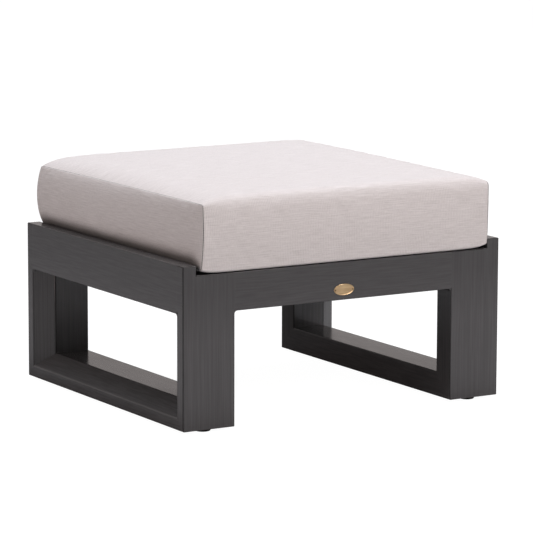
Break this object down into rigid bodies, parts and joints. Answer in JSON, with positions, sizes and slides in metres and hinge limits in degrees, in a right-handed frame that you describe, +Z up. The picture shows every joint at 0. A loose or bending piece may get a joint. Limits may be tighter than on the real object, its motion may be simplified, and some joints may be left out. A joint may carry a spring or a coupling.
{
  "type": "outdoor ottoman",
  "caption": "Low outdoor ottoman footstool: powder-coated aluminium frame with loop-shaped sides, slatted deck and a loose boxed cushion that lifts off.",
  "frame": {"origin": "on the floor under the middle of the frame, at the centre of the object's box", "axes": "+Z up; -Y is the front, the side with the name plate; +X is the right seen from the front, along the frame's longest side"},
  "size_m": [0.72, 0.6477, 0.4658],
  "materials": {
    "frame_coat": "charcoal powder coat with a fine brushed grain, satin",
    "deck_coat": "charcoal powder coat, matte",
    "glide_nylon": "moulded nylon, matte",
    "steel": "stainless fasteners, satin",
    "gold_plate": "bare gold-coloured plate, satin",
    "cover_cloth": "light grey-beige woven outdoor cloth with slubs",
    "wadding": "white polyester wadding",
    "foam": "open-cell foam",
    "zip_tape": "woven zip tape with coil teeth",
    "zip_metal": "nickel-coloured cast metal, satin"
  },
  "bodies": {
    "frame": {"front_left_leg": "frame_coat", "front_left_leg_cap": "frame_coat", "front_left_glide": "glide_nylon", "front_left_glide_screw": "steel", "rear_left_leg": "frame_coat", "rear_left_leg_cap": "frame_coat", "rear_left_glide": "glide_nylon", "rear_left_glide_screw": "steel", "left_runner": "frame_coat", "left_side_rail": "frame_coat", "left_ledge": "deck_coat", "left_plate_pin": "gold_plate", "front_right_leg": "frame_coat", "front_right_leg_cap": "frame_coat", "front_right_glide": "glide_nylon", "front_right_glide_screw": "steel", "rear_right_leg": "frame_coat", "rear_right_leg_cap": "frame_coat", "rear_right_glide": "glide_nylon", "rear_right_glide_screw": "steel", "right_runner": "frame_coat", "right_side_rail": "frame_coat", "right_ledge": "deck_coat", "right_plate_pin": "gold_plate", "front_apron": "frame_coat", "rear_apron": "frame_coat", "stretcher": "deck_coat", "name_plate": "gold_plate", "slat_1": "deck_coat", "slat_1_left_screw": "steel", "slat_1_right_screw": "steel", "slat_2": "deck_coat", "slat_2_left_screw": "steel", "slat_2_right_screw": "steel", "slat_3": "deck_coat", "slat_3_left_screw": "steel", "slat_3_right_screw": "steel", "slat_4": "deck_coat", "slat_4_left_screw": "steel", "slat_4_right_screw": "steel", "slat_5": "deck_coat", "slat_5_left_screw": "steel", "slat_5_right_screw": "steel", "slat_6": "deck_coat", "slat_6_left_screw": "steel", "slat_6_right_screw": "steel", "slat_7": "deck_coat", "slat_7_left_screw": "steel", "slat_7_right_screw": "steel"},
    "cushion": {"cushion_cover": "cover_cloth", "cushion_wadding": "wadding", "cushion_core": "foam", "zip_upper_tape": "zip_tape", "zip_lower_tape": "zip_tape"},
    "zip_slider": {"zip_slider": "zip_metal"},
    "zip_pull": {"zip_pull": "zip_metal"}
  },
  "joints": [
    {"name": "cushion_lift", "type": "slide", "parent": "frame", "child": "cushion", "axis": [0, 0, 1], "range_m": [0, 0.15]},
    {"name": "zip_slide", "type": "slide", "parent": "cushion", "child": "zip_slider", "axis": [1, 0, 0], "range_m": [0, 0.494]},
    {"name": "pull_swing", "type": "hinge", "parent": "zip_slider", "child": "zip_pull", "pos_m": [-0.247, 0.32001, 0.3723], "axis": [0, 0, -1], "range_deg": [0, 170]}
  ]
}
